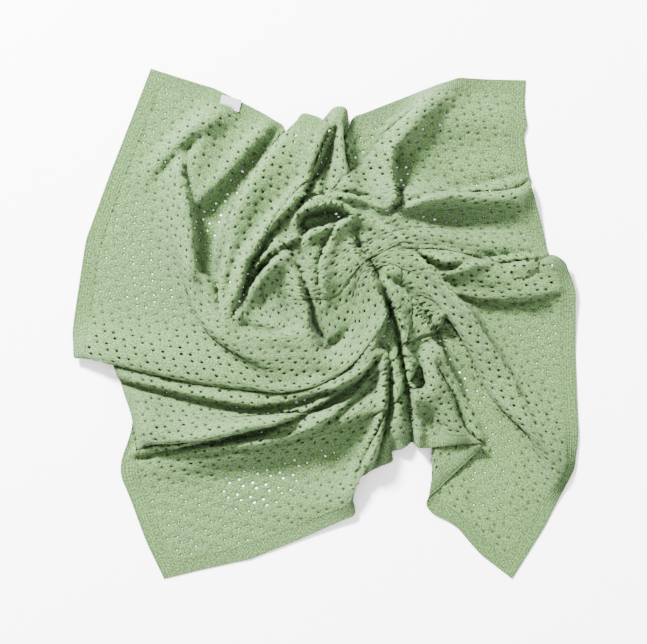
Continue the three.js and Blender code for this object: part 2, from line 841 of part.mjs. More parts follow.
// Keeps the cloth on the table and on its ridges, with some drag where it lies flat
function standOnTable(points, before, fixed, covered, support) {
  const bareTable = 3;
  for (let index = 0; index < pointCount; index++) {
    const raised = covered[index] ? 0 : support[mapPlace(points[3 * index], points[3 * index + 1])];
    const missing = restHeight + raised - points[3 * index + 2];
    if (missing <= 0 || fixed[index]) continue;
    points[3 * index + 2] += Math.min(missing, 1);
    if (raised > bareTable) continue;
    points[3 * index] += (before[3 * index] - points[3 * index]) * fall.drag;
    points[3 * index + 1] += (before[3 * index + 1] - points[3 * index + 1]) * fall.drag;
  }
}

// The upper and lower face of the sheet, half its thickness off the laid points
function sheetFaces(points) {
  const at = (i, j) => {
    const index = node(clamp(i, 0, cellsAcross), clamp(j, 0, cellsAlong));
    return new THREE.Vector3().fromArray(points, 3 * index);
  };
  const upper = [];
  const lower = [];
  for (let j = 0; j <= cellsAlong; j += keptPoint) {
    for (let i = 0; i <= cellsAcross; i += keptPoint) {
      const across = at(i + 1, j).sub(at(i - 1, j));
      const along = at(i, j + 1).sub(at(i, j - 1));
      const offset = across.cross(along).setLength(sheetThickness / 2);
      upper.push(at(i, j).add(offset));
      lower.push(at(i, j).sub(offset));
    }
  }
  const touching = 0.9;
  for (const point of [...upper, ...lower]) {
    if (point.z < touching) point.z = 0;
  }
  for (const [index, point] of upper.entries()) {
    if (point.z === 0 && lower[index].z === 0) point.z = sheetThickness;
  }
  return { upper, lower };
}

// One closed sheet: upper face, lower face and the thin edge all round
function makeSheet(points) {
  const { upper, lower } = sheetFaces(points);
  const across = cellsAcross / keptPoint;
  const along = cellsAlong / keptPoint;
  const corner = (i, j) => j * (across + 1) + i;
  const faces = [];
  for (let j = 0; j < along; j++) {
    for (let i = 0; i < across; i++) {
      const [a, b, c, d] = [corner(i, j), corner(i + 1, j), corner(i + 1, j + 1), corner(i, j + 1)];
      faces.push([a, b, c], [a, c, d]);
    }
  }
  const rim = [];
  for (let i = 0; i < across; i++) rim.push(corner(i, 0));
  for (let j = 0; j < along; j++) rim.push(corner(across, j));
  for (let i = across; i > 0; i--) rim.push(corner(i, along));
  for (let j = along; j > 0; j--) rim.push(corner(0, j));
  const under = upper.length;
  const triangles = [...faces, ...faces.map(([a, b, c]) => [a + under, c + under, b + under])];
  rim.forEach((a, k) => {
    const b = rim[(k + 1) % rim.length];
    triangles.push([a, a + under, b + under], [a, b + under, b]);
  });
  const geometry = new THREE.BufferGeometry();
  geometry.setFromPoints([...upper, ...lower]);
  geometry.setIndex(triangles.flat());
  geometry.computeVertexNormals();
  return geometry;
}

// Height of the top of the sheet over one place
function heightOver(geometry, x, y) {
  const ray = new THREE.Ray(new THREE.Vector3(x, y, 500), new THREE.Vector3(0, 0, -1));
  const positions = geometry.getAttribute("position");
  const index = geometry.getIndex();
  const corners = [0, 1, 2].map(() => new THREE.Vector3());
  const hit = new THREE.Vector3();
  let highest = 0;
  for (let k = 0; k < index.count; k += 3) {
    corners.forEach((corner, c) => corner.fromBufferAttribute(positions, index.getX(k + c)));
    if (ray.intersectTriangle(...corners, false, hit)) highest = Math.max(highest, hit.z);
  }
  return highest;
}

// The woven label, a thin blank strip that lies on the top hem
function makeLabel(sheet) {
  const turn = THREE.MathUtils.degToRad(label.turn);
  const [cos, sin] = [Math.cos(turn), Math.sin(turn)];
  const place = (a, b) => [label.x + cos * a - sin * b, label.y + sin * a + cos * b];
  const over = (a, b) => new THREE.Vector3(...place(a, b), heightOver(sheet, ...place(a, b)));
  const [halfLength, halfWidth] = [label.length / 2, label.width / 2];
  const lengthwise = over(halfLength, 0).sub(over(-halfLength, 0)).normalize();
  const crosswise = over(0, halfWidth).sub(over(0, -halfWidth)).normalize();
  const upward = new THREE.Vector3().crossVectors(lengthwise, crosswise).normalize();
  crosswise.crossVectors(upward, lengthwise);
  const samples = [-1, -0.5, 0, 0.5, 1];
  const centre = over(0, 0);
  let highest = 0;
  for (const a of samples) {
    for (const b of samples) {
      highest = Math.max(highest, over(a * halfLength, b * halfWidth).sub(centre).dot(upward));
    }
  }
  const piece = new THREE.Mesh(
    new THREE.BoxGeometry(label.length, label.width, label.thickness),
    new THREE.MeshStandardMaterial({ color: 0xd9dad6, roughness: 0.8, metalness: 0 }),
  );
  piece.name = "label";
  piece.quaternion.setFromRotationMatrix(new THREE.Matrix4().makeBasis(lengthwise, crosswise, upward));
  piece.position.copy(centre).addScaledVector(upward, highest + label.gap + label.thickness / 2);
  return piece;
}

// The blanket itself, knitted in one piece with its ribbed border
function makeBlanket() {
  const yarn = new THREE.MeshStandardMaterial({ color: 0x9db489, roughness: 0.95, metalness: 0 });
  yarn.side = THREE.DoubleSide;
  const piece = new THREE.Mesh(makeSheet(layCloth()), yarn);
  piece.name = "blanket";
  return piece;
}

const blanket = makeBlanket();
const laid = new THREE.Group();
laid.add(blanket, makeLabel(blanket.geometry));

// The origin is on the table, under the middle of the whole object
const box = new THREE.Box3().setFromObject(laid, true);
const middle = box.getCenter(new THREE.Vector3());
laid.position.set(-middle.x, -middle.y, -box.min.z);

const swaddle = new THREE.Group();
swaddle.add(laid);

export default swaddle;
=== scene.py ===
import math
import bmesh
import bpy
import numpy as np
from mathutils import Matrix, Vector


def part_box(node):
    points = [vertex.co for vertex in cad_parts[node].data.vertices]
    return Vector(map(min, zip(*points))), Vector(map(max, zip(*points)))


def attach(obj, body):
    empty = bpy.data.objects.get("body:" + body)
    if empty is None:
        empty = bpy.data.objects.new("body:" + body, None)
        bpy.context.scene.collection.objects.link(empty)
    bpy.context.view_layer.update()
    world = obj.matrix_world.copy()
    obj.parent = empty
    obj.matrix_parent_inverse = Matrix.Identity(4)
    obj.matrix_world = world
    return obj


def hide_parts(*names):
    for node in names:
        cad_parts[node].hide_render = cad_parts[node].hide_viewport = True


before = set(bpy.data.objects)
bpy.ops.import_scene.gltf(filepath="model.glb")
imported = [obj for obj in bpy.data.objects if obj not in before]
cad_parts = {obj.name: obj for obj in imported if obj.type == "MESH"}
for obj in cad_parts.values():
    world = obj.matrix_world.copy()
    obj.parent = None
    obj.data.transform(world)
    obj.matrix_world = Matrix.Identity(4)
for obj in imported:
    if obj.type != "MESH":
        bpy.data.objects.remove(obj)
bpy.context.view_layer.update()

# The cloth as it lies
# One knitted cotton cloth, 850 mm wide and 1000 mm long, spread on the table with its middle turned
# into a swirl. Its solid is a net of squares, read here row by row from the near hem to the far one.
CLOTH_WIDTH = 0.850
CLOTH_LENGTH = 1.000
SQUARES_ACROSS = 49
SQUARES_ALONG = 58
THINNEST_SQUARE = 1e-6


def third_corner(face, a, b):
    """The corner of a triangle that isn't on the side from a to b."""
    return next(v for v in face.verts if v != a and v != b)


def face_on(a, b, used):
    """The triangle on the side from a to b that hasn't been used yet."""
    edge = next(e for e in a.link_edges if e.other_vert(a) == b)
    return next(f for f in edge.link_faces if f not in used)


def walk_round_hems(solid):
    """The upper and lower points all round the hems, from the near left corner anticlockwise."""
    low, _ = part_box("blanket")
    hem_corner = (low[0] * 0.64, low[1], 0)
    corner = min(solid.verts, key=lambda v: math.dist(v.co, hem_corner))
    thickness = min(corner.link_edges, key=lambda e: e.calc_length())
    under, upper = sorted(thickness.verts, key=lambda v: v.co.z)
    used = set()
    start = max(thickness.link_faces, key=lambda f: third_corner(f, upper, under).co.x)
    loop = []
    face = start
    for step in range(2 * (SQUARES_ACROSS + SQUARES_ALONG)):
        loop.append((upper, under))
        next_under = third_corner(face, upper, under)
        used.add(face)
        other = face_on(upper, next_under, used)
        used.add(other)
        next_upper = third_corner(other, upper, next_under)
        upper, under = next_upper, next_under
        if step < 2 * (SQUARES_ACROSS + SQUARES_ALONG) - 1:
            face = face_on(upper, under, used)
    return loop, used


def read_rows(near_row, used):
    """The rows of one side of the sheet, found from its near row by stepping over each square."""
    rows = [near_row]
    for _ in range(SQUARES_ALONG):
        row = rows[-1]
        following = [None] * len(row)
        for i in range(SQUARES_ACROSS):
            face = face_on(row[i], row[i + 1], used)
            used.add(face)
            following[i + 1] = third_corner(face, row[i], row[i + 1])
            face = face_on(row[i], following[i + 1], used)
            used.add(face)
            following[i] = third_corner(face, row[i], following[i + 1])
        rows.append(following)
    return np.array([[v.co[:] for v in row] for row in rows])


solid = bmesh.new()
solid.from_mesh(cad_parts["blanket"].data)
bmesh.ops.remove_doubles(solid, verts=solid.verts, dist=THINNEST_SQUARE)
loop, rim_faces = walk_round_hems(solid)
upper_side = read_rows([pair[0] for pair in loop[: SQUARES_ACROSS + 1]], rim_faces)
lower_side = read_rows([pair[1] for pair in loop[: SQUARES_ACROSS + 1]], rim_faces)
solid.free()
laid = (upper_side + lower_side) / 2


def smooth_between(points, places):
    """Points on smooth curves through the rows of points, at places counted in rows."""
    k = np.clip(np.floor(places).astype(int), 0, len(points) - 2)
    t = (places - k)[:, None]
    before, here, after, beyond = (points[np.clip(k + n, 0, len(points) - 1)] for n in (-1, 0, 1, 2))
    slope_here = (after - before) / 2
    slope_after = (beyond - here) / 2
    t2, t3 = t * t, t * t * t
    return (
        (2 * t3 - 3 * t2 + 1) * here
        + (t3 - 2 * t2 + t) * slope_here
        + (3 * t2 - 2 * t3) * after
        + (t3 - t2) * slope_after
    )


FINE = 8


def refine(net, times):
    """The same net with each square cut into times by times, on smooth curves."""
    count_along, count_across = net.shape[:2]
    along = np.linspace(0, count_along - 1, (count_along - 1) * times + 1)
    across = np.linspace(0, count_across - 1, (count_across - 1) * times + 1)
    tall = smooth_between(net.reshape(count_along, -1), along).reshape(len(along), count_across, 3)
    wide = smooth_between(tall.transpose(1, 0, 2).reshape(count_across, -1), across)
    return wide.reshape(len(across), len(along), 3).transpose(1, 0, 2)


cloth = refine(laid, FINE)

# The folds
# The cloth's main folds and creases, placed over the laid net as soft ridges and troughs.
# Each is a route over the table in millimetres, with its rise there, and all layers move together.
CELL = 0.0015
TABLE_REACH = 0.400
SWIRL_CENTRE = (0.020, 0.045)
SWIRL_REACH = 0.150
HEAP_SOFTNESS = (0.004, 0.026)
FULLNESS = 2.05
LOWEST_TOP = 0.0012
HIGHEST_TOP = 0.086
EDGE_ROUND = 0.003
ROUTE_STEPS = 6
BLUR_REACHES = 2.5
cells = round(2 * TABLE_REACH / CELL) + 1
table_line = np.linspace(-TABLE_REACH, TABLE_REACH, cells)
table_x, table_y = np.meshgrid(table_line, table_line)

# name, softness of its back, depth and width of the crease in front, route (x, y, rise); the fold
# lies to the left of its route
FOLD_EDGES = (
    ("right edge of the top roll", 26, 0.8, 8, [
      (-134, 18, 5), (-121, 43, 13), (-116, 68, 15), (-110, 88, 15), (-97, 108, 14), (-81, 132, 13),
      (-60, 155, 12), (-44, 169, 13), (-29, 194, 14), (-4, 243, 12), (11, 282, 6),
    ]),
    ("left edge of the roll's foot", 14, 0.8, 9, [
      (-136, 127, 2), (-147, 89, 8), (-152, 63, 10), (-153, 37, 9), (-150, 18, 3),
    ]),
    ("inner edge of the upper left panel", 22, 0.7, 10, [
      (-155, 18, 3), (-159, 43, 7), (-171, 68, 10), (-185, 81, 12), (-187, 114, 12), (-190, 149, 11),
      (-198, 185, 10), (-205, 210, 9), (-207, 233, 7), (-203, 253, 2),
    ]),
    ("right edge of the upper right ridge", 18, 0.9, 9, [
      (83, 159, 4), (98, 168, 9), (105, 181, 12), (102, 208, 12), (100, 240, 9), (106, 258, 5),
      (134, 284, 1),
    ]),
    ("upper edge of the arc", 12, 0.5, 6, [
      (87, 169, 5), (58, 181, 8), (35, 185, 10), (11, 187, 10), (-13, 182, 10), (-33, 175, 9),
      (-50, 162, 7), (-66, 145, 5), (-84, 124, 3),
    ]),
    ("lower edge of the arc", 13, 1.0, 8, [
      (-111, 62, 5), (-97, 81, 12), (-79, 98, 13), (-60, 113, 12), (-47, 118, 10), (-34, 129, 8),
      (-39, 145, 10), (-33, 158, 13), (-14, 165, 15), (6, 169, 15), (25, 165, 12), (34, 152, 9),
      (6, 149, 4),
    ]),
    ("upper left edge of the left petal", 30, 0.6, 7, [
      (-60, 113, 8), (-79, 94, 14), (-97, 71, 15), (-116, 46, 13), (-130, 21, 6),
    ]),
    ("right edge of the left petal", 22, 0.9, 7, [
      (2, -29, 5), (-18, -6, 10), (-24, 23, 11), (-30, 43, 11), (-39, 72, 10), (-50, 95, 9),
      (-60, 111, 8),
    ]),
    ("top edge of the middle petal", 22, 0.6, 7, [
      (24, 149, 6), (11, 143, 12), (-7, 140, 13), (-23, 134, 12), (-34, 127, 9),
    ]),
    ("left edge of the big petal", 26, 0.9, 5, [
      (25, 149, 6), (19, 143, 8), (9, 129, 10), (-1, 111, 10), (-7, 92, 10), (-8, 71, 8), (-7, 50, 5),
      (-5, 34, 2),
    ]),
    ("right edge of the big petal", 24, 0.9, 8, [
      (76, -22, 4), (86, -2, 9), (90, 17, 13), (86, 34, 14), (77, 56, 12), (66, 81, 10), (47, 108, 10),
      (37, 129, 9), (32, 150, 4),
    ]),
    ("lower edge of the left lobe", 34, 0.8, 8, [
      (-342, -66, 3), (-307, -77, 7), (-266, -89, 9), (-197, -105, 10), (-146, -115, 11),
      (-102, -121, 12), (-71, -119, 12), (-39, -112, 12), (-8, -100, 12), (18, -92, 11), (56, -70, 8),
      (74, -50, 3),
    ]),
    ("lower edge of the left strip", 22, 0.9, 6, [
      (-269, -190, 7), (-197, -176, 10), (-134, -163, 11), (-71, -145, 11), (-24, -127, 11),
      (18, -103, 10), (48, -82, 8), (70, -54, 3),
    ]),
    ("lower edge of the second left strip", 12, 0.6, 9, [
      (-226, -192, 2), (-165, -183, 5), (-102, -176, 7), (-55, -167, 8), (-8, -145, 9), (24, -122, 8),
      (56, -95, 7), (74, -67, 3),
    ]),
    ("right edge of the lower left panel", 18, 0.9, 7, [
      (50, -256, 1), (61, -221, 5), (74, -185, 9), (86, -138, 12), (90, -115, 12), (90, -76, 12),
      (90, -61, 11), (86, -42, 8), (74, -32, 3),
    ]),
    ("left edge of the bottom flap", 22, 1.0, 7, [
      (80, 50, 4), (100, 18, 12), (109, -11, 15), (116, -53, 15), (124, -100, 13), (128, -140, 10),
      (131, -172, 7),
    ]),
    ("right edge of the bottom flap", 26, 0.8, 10, [
      (234, -170, 9), (221, -138, 14), (203, -100, 16), (185, -66, 16), (166, -31, 14), (148, 4, 12),
      (130, 30, 11), (105, 52, 9), (74, 71, 4),
    ]),
    ("outer edge of the long fold", 18, 0.6, 10, [
      (314, -179, 1), (298, -138, 5), (280, -100, 8), (261, -61, 10), (237, -25, 12), (214, 11, 12),
      (180, 50, 12), (150, 82, 12), (127, 110, 12), (112, 126, 11), (93, 137, 8), (76, 150, 4),
    ]),
    ("lower edge of the small right fold", 12, 0.9, 8, [
      (125, 113, 4), (137, 102, 9), (167, 87, 9), (198, 87, 3),
    ]),
    ("upper edge of the right panel", 20, 0.7, 8, [
      (282, 214, 4), (227, 201, 6), (179, 190, 7), (131, 178, 7), (83, 158, 4),
    ]),
    ("upper edge of the right roll", 18, 0.6, 7, [
      (296, 102, 3), (251, 97, 6), (203, 87, 7), (172, 76, 5),
    ]),
    ("lower edge of the right roll", 22, 0.7, 6, [
      (198, 40, 5), (227, 34, 8), (263, 33, 7), (299, 36, 5), (334, 44, 2),
    ]),
)

# name, width, route (x, y, rise, or fall where it is below zero)
RIDGES_AND_TROUGHS = (
    ("ridge below the label", 16, [
      (-140, 307, 4), (-174, 292, 8), (-205, 269, 9), (-223, 252, 8), (-252, 223, 5), (-265, 210, 2),
    ]),
    ("crease of the upper left panel", 9, [
      (-182, 275, -4), (-195, 262, -9), (-210, 248, -9), (-226, 233, -8), (-243, 214, -3),
    ]),
    ("pleat of the upper left strip", 11, [
      (-87, 284, 5), (-110, 259, 9), (-132, 233, 9), (-153, 210, 8), (-182, 182, 6), (-195, 168, 2),
    ]),
    ("hollow beside the pleat", 14, [
      (-71, 269, -3), (-98, 240, -7), (-124, 211, -8), (-150, 179, -8), (-172, 147, -6),
      (-175, 110, -8), (-168, 85, -8),
    ]),
    ("narrow top fold", 10, [
      (22, 307, 4), (25, 274, 8), (27, 245, 8), (32, 211, 7), (38, 191, 4),
    ]),
    ("hollow beside the narrow fold", 10, [
      (11, 252, -4), (3, 220, -9), (-1, 197, -9),
    ]),
    ("recess of the upper right panel", 18, [
      (67, 288, -3), (61, 252, -6), (58, 216, -7), (64, 194, -5),
    ]),
    ("crest of the upper right ridge", 14, [
      (173, 327, 2), (153, 313, 4), (128, 284, 6), (108, 259, 6), (93, 236, 5), (90, 204, 4),
    ]),
    ("hollow under the upper right ridge", 12, [
      (114, 230, -4), (116, 194, -8), (122, 179, -5),
    ]),
    ("floor of the pocket", 10, [
      (-29, 142, -6), (-11, 152, -12), (6, 156, -12), (22, 156, -6),
    ]),
    ("hollow of the left petal", 14, [
      (-58, 63, -3), (-55, 34, -6), (-52, 8, -5),
    ]),
    ("hollow of the big petal", 10, [
      (44, 142, -4), (61, 133, -9), (74, 113, -10), (85, 89, -7),
    ]),
    ("foot of the big petal", 9, [
      (-20, -9, -4), (-8, -27, -9), (2, -37, -11), (14, -29, -9), (27, -16, -6), (35, -3, -3),
    ]),
    ("band round the foot", 14, [
      (-107, -14, 4), (-84, -14, 7), (-52, -16, 8), (-30, -28, 8), (-11, -50, 8), (8, -61, 8),
      (32, -56, 8), (56, -38, 7), (77, -3, 5),
    ]),
    ("line over the band", 6, [
      (-116, -3, -4), (-95, -8, -9), (-74, -11, -7), (-52, -8, -4),
    ]),
    ("valley beside the flap", 13, [
      (105, 49, -3), (144, -9, -7), (180, -67, -9), (209, -111, -10), (234, -147, -10),
      (253, -190, -7), (250, -241, -3),
    ]),
    ("valley of the lower right panel", 14, [
      (253, -169, -4), (241, -219, -7), (221, -263, -5),
    ]),
    ("fold of the lower left panel", 16, [
      (67, -212, 3), (73, -169, 4), (79, -125, 3),
    ]),
    ("short bottom fold", 9, [
      (111, -179, 4), (106, -140, 7), (102, -96, 7), (98, -53, 5),
    ]),
    ("hollow beside the short fold", 6, [
      (90, -154, -4), (93, -118, -8), (95, -82, -7),
    ]),
)


def softened(field, reach):
    """A field over the table after a soft blur with the given reach."""
    farthest = math.ceil(BLUR_REACHES * reach / CELL)
    steps = range(-farthest, farthest + 1)
    shares = [math.exp(-0.5 * (n * CELL / reach) ** 2) for n in steps]
    for axis in (0, 1):
        field = sum(share * np.roll(field, n, axis) for n, share in zip(steps, shares)) / sum(shares)
    return field


def heap_top(net):
    """The height of the uppermost layer over the table, and where there is cloth at all."""
    close = refine(net, 2).reshape(-1, 3)
    column = np.clip(np.rint((close[:, 0] + TABLE_REACH) / CELL).astype(int), 0, cells - 1)
    row = np.clip(np.rint((close[:, 1] + TABLE_REACH) / CELL).astype(int), 0, cells - 1)
    top = np.zeros((cells, cells))
    np.maximum.at(top, (row, column), close[:, 2])
    for _ in range(3):
        around = [np.roll(np.roll(top, a, 0), b, 1) for a in (-1, 0, 1) for b in (-1, 0, 1)]
        top = np.where(top > 0, top, np.max(around, axis=0))
    return top, (top > 0).astype(float)


def from_route(route, reach):
    """Cells near a smooth route: their distance from it, its rise there and the side they are on."""
    stops = np.array(route, float) / 1000
    line = smooth_between(stops, np.linspace(0, len(stops) - 1, (len(stops) - 1) * ROUTE_STEPS + 1))
    low, high = line[:, :2].min(0) - reach, line[:, :2].max(0) + reach
    near = (table_x > low[0]) & (table_x < high[0]) & (table_y > low[1]) & (table_y < high[1])
    place = np.column_stack([table_x[near], table_y[near]])
    distance = np.full(len(place), np.inf)
    rise, side = np.zeros(len(place)), np.zeros(len(place))
    for start, end in zip(line, line[1:]):
        run = end[:2] - start[:2]
        offset = place - start[:2]
        share = offset @ run / max(run @ run, 1e-12)
        held = np.clip(share, 0, 1)
        away = np.hypot(*(offset - held[:, None] * run).T)
        nearer = away < distance
        distance[nearer] = away[nearer]
        rise[nearer] = (start[2] + held * (end[2] - start[2]))[nearer]
        cross = run[0] * offset[:, 1] - run[1] * offset[:, 0]
        side[nearer] = np.where(cross > 0, 1, -1)[nearer]
    return near, distance, rise, side


def smooth_step(value):
    """Rises smoothly from 0 to 1 as the value does."""
    held = np.clip(value, 0, 1)
    return held * held * (3 - 2 * held)


heap, covered = heap_top(cloth)
wide_inside = np.maximum(softened(covered, HEAP_SOFTNESS[1]), 1e-6)
wide_form = softened(heap * covered, HEAP_SOFTNESS[1]) / wide_inside
close_inside = np.maximum(softened(covered, HEAP_SOFTNESS[0]), 1e-6)
close_form = softened(heap * covered, HEAP_SOFTNESS[0]) / close_inside
from_centre = np.hypot(table_x - SWIRL_CENTRE[0], table_y - SWIRL_CENTRE[1])
in_swirl = 1 - smooth_step((from_centre / SWIRL_REACH - 0.75) / 0.5)
wanted = close_form + (wide_form - close_form) * in_swirl

for _, soft, crease, width, route in FOLD_EDGES:
    back, front = soft / 1000, width / 1000
    near, distance, rise, side = from_route(route, max(back, BLUR_REACHES * front))
    ahead = distance * side
    fold = (1 - smooth_step(ahead / back)) * smooth_step(0.5 + ahead / (2 * EDGE_ROUND))
    groove = crease * np.exp(-(((ahead + 0.5 * front) / (0.6 * front)) ** 2))
    wanted[near] += FULLNESS * rise * (fold - groove)

for _, width, route in RIDGES_AND_TROUGHS:
    reach = width / 1000
    near, distance, rise, _ = from_route(route, BLUR_REACHES * reach)
    wanted[near] += FULLNESS * rise * np.exp(-((distance / reach) ** 2))

wanted = np.clip(wanted, LOWEST_TOP, HIGHEST_TOP)


def over_table(field, x, y):
    """Values of a field over the table at given places."""
    column = np.clip((x + TABLE_REACH) / CELL, 0, cells - 1.001)
    row = np.clip((y + TABLE_REACH) / CELL, 0, cells - 1.001)
    i, j = column.astype(int), row.astype(int)
    s, t = column - i, row - j
    near = field[j, i] * (1 - s) + field[j, i + 1] * s
    far = field[j + 1, i] * (1 - s) + field[j + 1, i + 1] * s
    return near * (1 - t) + far * t


present = np.maximum(over_table(heap, cloth[..., 0], cloth[..., 1]), cloth[..., 2])
target = over_table(wanted, cloth[..., 0], cloth[..., 1])

# Where one layer goes in under the next inside the swirl, they press together to a shallow seam.
SEAM_DEPTH = 0.003
UNDER_THE_TOP = 0.002
ON_THE_LAYER_BESIDE = 0.0015
beside = heap.copy()
for _ in range(2):
    around = [np.roll(np.roll(beside, a, 0), b, 1) for a in (-1, 0, 1) for b in (-1, 0, 1)]
    beside = np.min(around, axis=0)
level_beside = over_table(beside, cloth[..., 0], cloth[..., 1])
level = cloth[..., 2]
at_seam = (level < present - UNDER_THE_TOP) & (level > level_beside - ON_THE_LAYER_BESIDE)
pressed = at_seam * over_table(in_swirl, cloth[..., 0], cloth[..., 1])
laid_level = level * target / np.maximum(present, LOWEST_TOP)
seam_level = np.maximum(target - SEAM_DEPTH, laid_level)
cloth[..., 2] = laid_level + (seam_level - laid_level) * pressed
slope_across = np.gradient(cloth, axis=1)
slope_along = np.gradient(cloth, axis=0)
facing = np.cross(slope_across, slope_along)
facing /= np.maximum(np.linalg.norm(facing, axis=2, keepdims=True), 1e-12)


def on_cloth(net, u, v):
    """Values of a net over the cloth at the places u across and v along, in metres."""
    x = np.clip(u / CLOTH_WIDTH, 0, 1) * (net.shape[1] - 1)
    y = np.clip(v / CLOTH_LENGTH, 0, 1) * (net.shape[0] - 1)
    i = np.minimum(x.astype(int), net.shape[1] - 2)
    j = np.minimum(y.astype(int), net.shape[0] - 2)
    s, t = (x - i)[:, None], (y - j)[:, None]
    near = net[j, i] * (1 - s) + net[j, i + 1] * s
    far = net[j + 1, i] * (1 - s) + net[j + 1, i + 1] * s
    return near * (1 - t) + far * t


# The knit
# Fine sage cotton, knitted with rows of eyelets, two in every three places, each row one place
# further over. The stitches swell between the eyelets, and every third place is a small bobble.
BORDER = 0.022
EYELET_PITCH = 0.0135
EYELET_ROWS = 98
ROW_SHIFT = 0.0025
SNAP = 0.0022
EYELET_RADIUS = (0.0020, 0.0017)
COLLAR_RADIUS = (0.0033, 0.0026)
SWELL = 0.0007
BOBBLE = (0.0014, 0.0027)
EYELET_DEPTH = -0.0011
COLLAR_HEIGHT = 0.0001
UNEVEN = 0.00022
WANDER = 0.0003
EYELET_SIZES = (0.72, 1.15)
SMALLEST_EYELET = 0.3
FIELD_LENGTH = CLOTH_LENGTH - 2 * BORDER
# Places on the table where the cloth lies low but stretched, so that its eyelets stay open, in
# millimetres: middle, half width, half length, how far they open
STRETCHED = (
    (-155, 190, 55, 60, 0.9),
    (-100, -232, 55, 40, 0.9),
    (-60, -175, 90, 35, 0.8),
    (-10, 220, 25, 40, 0.8),
    (-180, -25, 50, 30, 0.8),
    (-245, 40, 50, 80, 0.35),
    (60, 110, 150, 130, 1.0),
    (60, -60, 160, 110, 1.0),
)
RAISED = (0.006, 0.020)
RELAXED = 0.16
raised_share = smooth_step((cloth[..., 2] - RAISED[0]) / (RAISED[1] - RAISED[0]))
openness = RELAXED + (1 - RELAXED) * raised_share
for x, y, half_width, half_length, opened in STRETCHED:
    away = np.hypot((cloth[..., 0] * 1000 - x) / half_width, (cloth[..., 1] * 1000 - y) / half_length)
    openness = np.maximum(openness, opened * (1 - smooth_step((away - 0.8) / 0.5)))
row_pitch = FIELD_LENGTH / EYELET_ROWS
chance = np.random.RandomState(11)
flat_points = []
faces = []
known = {}


def put(u, v, height):
    """Adds a point of the flat cloth, at its height over the middle of the sheet."""
    flat_points.append((u, v, height))
    return len(flat_points) - 1


def lattice_point(m, k):
    """The shared point at half place m of half row k, drawn onto the border where it is close to it."""
    u = BORDER + EYELET_PITCH * m / 2 + ROW_SHIFT * k / 2
    v = CLOTH_LENGTH - BORDER - row_pitch * k / 2
    right_border = CLOTH_WIDTH - BORDER
    at_border = u < BORDER + SNAP or u > right_border - SNAP
    if at_border:
        u = BORDER if u < CLOTH_WIDTH / 2 else right_border
    key = (round(u, 6), k)
    if key not in known:
        height = 0 if at_border else SWELL + chance.normal(0, UNEVEN)
        known[key] = put(u, v, height)
    return known[key]


AROUND = ((-1, 2), (0, 2), (1, 2), (1, 1), (1, 0), (0, 0), (-1, 0), (-1, 1))


def knit_place(m, k):
    """One place of the knit: an eyelet with its sunken collar, or a bobble, or a plain end."""
    ring = [lattice_point(2 * m + dm, 2 * k + dk) for dm, dk in AROUND]
    corners = list(dict.fromkeys(ring))
    if len(corners) < 3:
        return
    u = BORDER + EYELET_PITCH * m + ROW_SHIFT * (k + 0.5)
    v = CLOTH_LENGTH - BORDER - row_pitch * (k + 0.5)
    if len(corners) < len(ring):
        middle_u = sum(flat_points[c][0] for c in corners) / len(corners)
        middle_v = sum(flat_points[c][1] for c in corners) / len(corners)
        middle = put(middle_u, middle_v, SWELL)
        faces.extend((a, b, middle) for a, b in zip(corners, corners[1:] + corners[:1]))
        return
    u += chance.normal(0, WANDER)
    v += chance.normal(0, WANDER)
    column = round(u / CLOTH_WIDTH * (cloth.shape[1] - 1))
    row = round(v / CLOTH_LENGTH * (cloth.shape[0] - 1))
    opened = openness[row, column]
    if (m - k) % 3 == 2:
        bobble = BOBBLE[0] + (BOBBLE[1] - BOBBLE[0]) * (1 - opened)
        middle = put(u, v, bobble + chance.normal(0, UNEVEN))
        faces.extend((a, b, middle) for a, b in zip(ring, ring[1:] + ring[:1]))
        return
    size = chance.uniform(*EYELET_SIZES) * (SMALLEST_EYELET + (1 - SMALLEST_EYELET) * opened)
    collar, edge = [], []
    for corner in ring:
        angle = math.atan2((flat_points[corner][1] - v) * 1.2, flat_points[corner][0] - u)
        turn_u, turn_v = math.cos(angle), math.sin(angle)
        collar.append(put(u + COLLAR_RADIUS[0] * turn_u, v + COLLAR_RADIUS[1] * turn_v, COLLAR_HEIGHT))
        across, along = (r * size for r in EYELET_RADIUS)
        edge.append(put(u + across * turn_u, v + along * turn_v, EYELET_DEPTH))
    for outer, inner in ((ring, collar), (collar, edge)):
        for n in range(len(ring)):
            following = (n + 1) % len(ring)
            faces.append((outer[n], outer[following], inner[following], inner[n]))


for k in range(EYELET_ROWS):
    first_place = math.floor(-ROW_SHIFT * (k + 1) / EYELET_PITCH) - 1
    places = math.ceil((CLOTH_WIDTH - 2 * BORDER) / EYELET_PITCH) + 3
    for m in range(first_place, first_place + places):
        knit_place(m, k)

# The ribbed border
# A band of rib all round, knitted in one with the cloth. Its ribs run along the cloth everywhere, so
# they stand across the near and far hems and lie along the side hems. The edge is one stitch thick.
RIB_PITCH = 0.0036
RIB_HEIGHT = 0.0008
EDGE_DROP = -0.0009
side_ribs = round(BORDER / RIB_PITCH * 2)
half_rib = BORDER / side_ribs


def rib_height(column):
    """The height of a rib's crest or of the hollow beside it."""
    return RIB_HEIGHT * (1 if column % 2 else -1) + SWELL / 2


def zip_rows(near, far):
    """Joins two rows of points by triangles, each row from left to right."""
    i = j = 0
    while i < len(near) - 1 or j < len(far) - 1:
        step_near = j == len(far) - 1 or (
            i < len(near) - 1 and flat_points[near[i + 1]][0] <= flat_points[far[j + 1]][0]
        )
        if step_near:
            faces.append((near[i], near[i + 1], far[j]))
            i += 1
        else:
            faces.append((near[i], far[j + 1], far[j]))
            j += 1


